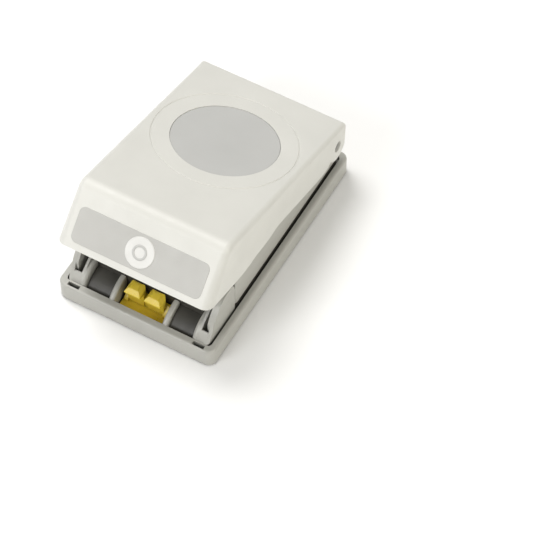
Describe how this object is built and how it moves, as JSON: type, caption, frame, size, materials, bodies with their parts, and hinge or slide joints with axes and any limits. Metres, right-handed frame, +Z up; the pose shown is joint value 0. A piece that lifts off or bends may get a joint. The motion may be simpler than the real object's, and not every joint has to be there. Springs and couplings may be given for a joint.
{
  "type": "craft punch",
  "caption": "Lever craft punch that cuts a two inch circle: hinged cap over a spring-returned steel die set, with a slide latch that locks the cap down.",
  "frame": {"origin": "centre of the bounding box in plan, on the plane that the rubber feet rest on", "axes": "X across the tool, +Y from the label end to the hinge end, +Z up; the cap is raised at rest"},
  "size_m": [0.081, 0.1284, 0.0645],
  "materials": {
    "cap_plastic": "satin",
    "base_plastic": "satin",
    "dark_plastic": "matte",
    "foot_rubber": "matte",
    "screw_steel": "satin",
    "die_steel": "ground",
    "black_steel": "matte",
    "yellow_plastic": "gloss",
    "spring_steel": "bright",
    "pin_steel": "ground",
    "inlay_plastic": "satin",
    "label_plastic": "satin",
    "badge_plastic": "satin"
  },
  "bodies": {
    "base": {"base_tray": "base_plastic", "bottom_cover": "dark_plastic", "rubber_feet": "foot_rubber", "cover_screws": "screw_steel", "lower_die": "black_steel", "throat_bracket": "black_steel", "guide_plate": "black_steel", "plate_bolts": "screw_steel", "die_housing": "base_plastic", "housing_screws": "screw_steel", "cheek_left": "base_plastic", "cheek_right": "base_plastic", "pivot_axle": "pin_steel", "axle_clips": "spring_steel", "return_springs": "spring_steel"},
    "lever": {"lever_cap": "cap_plastic", "top_inlay": "inlay_plastic", "label_plate": "label_plastic", "badge": "badge_plastic", "badge_ring": "label_plastic", "drive_pin": "pin_steel"},
    "punch": {"punch_die": "die_steel", "plunger": "black_steel", "plunger_screws": "screw_steel"},
    "latch": {"latch_slider": "yellow_plastic"}
  },
  "joints": [
    {"name": "lever_hinge", "type": "hinge", "parent": "base", "child": "lever", "pos_m": [0, 0.0555, 0.0255], "axis": [1, 0, 0], "range_deg": [0, 15], "stiffness_Nm_per_rad": 0.8, "springref_deg": -22.92},
    {"name": "punch_slide", "type": "slide", "parent": "base", "child": "punch", "axis": [0, 0, 1], "range_m": [-0.01135, 0], "deforming": ["return_springs"]},
    {"name": "latch_slide", "type": "slide", "parent": "base", "child": "latch", "axis": [0, -1, 0], "range_m": [0, 0.0019]}
  ],
  "couplings": [
    {"joint": "punch_slide", "follows": "lever_hinge", "m_per_rad": -0.0432}
  ]
}
